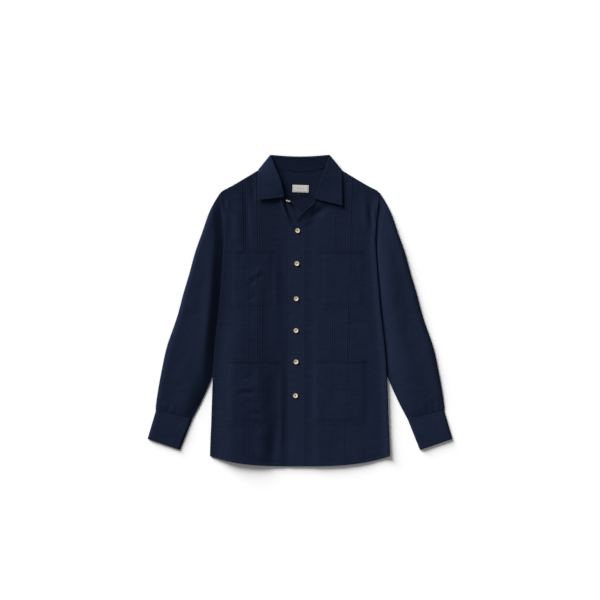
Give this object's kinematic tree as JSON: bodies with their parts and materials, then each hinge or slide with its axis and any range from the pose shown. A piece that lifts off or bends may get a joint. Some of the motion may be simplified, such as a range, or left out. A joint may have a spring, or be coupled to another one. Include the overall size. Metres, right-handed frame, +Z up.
{
  "type": "long-sleeved guayabera shirt laid flat",
  "caption": "Navy linen guayabera shirt laid flat, with an open shirt collar, front placket, patch pockets, pleat rows and buttoned front.",
  "frame": {"origin": "middle of the shirt's outline, on the surface it lies on", "axes": "+Z up from the surface, out of the shirt's front; +Y towards the collar; +X towards the wearer's left"},
  "size_m": [0.7924, 0.8089, 0.0117],
  "materials": {
    "navy_linen": "matt plain-woven linen with slubs",
    "cream_button": "polished, shell-like",
    "woven_label": "matt satin-woven tape"
  },
  "bodies": {
    "root": {"back": "navy_linen", "left_front": "navy_linen", "right_front": "navy_linen", "buttonhole_band": "navy_linen", "button_band": "navy_linen", "left_sleeve": "navy_linen", "right_sleeve": "navy_linen", "left_cuff": "navy_linen", "right_cuff": "navy_linen", "collar_stand": "navy_linen", "collar_leaf": "navy_linen", "left_chest_pocket": "navy_linen", "left_lower_pocket": "navy_linen", "right_chest_pocket": "navy_linen", "right_lower_pocket": "navy_linen", "button_1": "cream_button", "button_2": "cream_button", "button_3": "cream_button", "button_4": "cream_button", "button_5": "cream_button", "button_6": "cream_button", "button_7": "cream_button", "neck_label": "woven_label"}
  },
  "joints": []
}
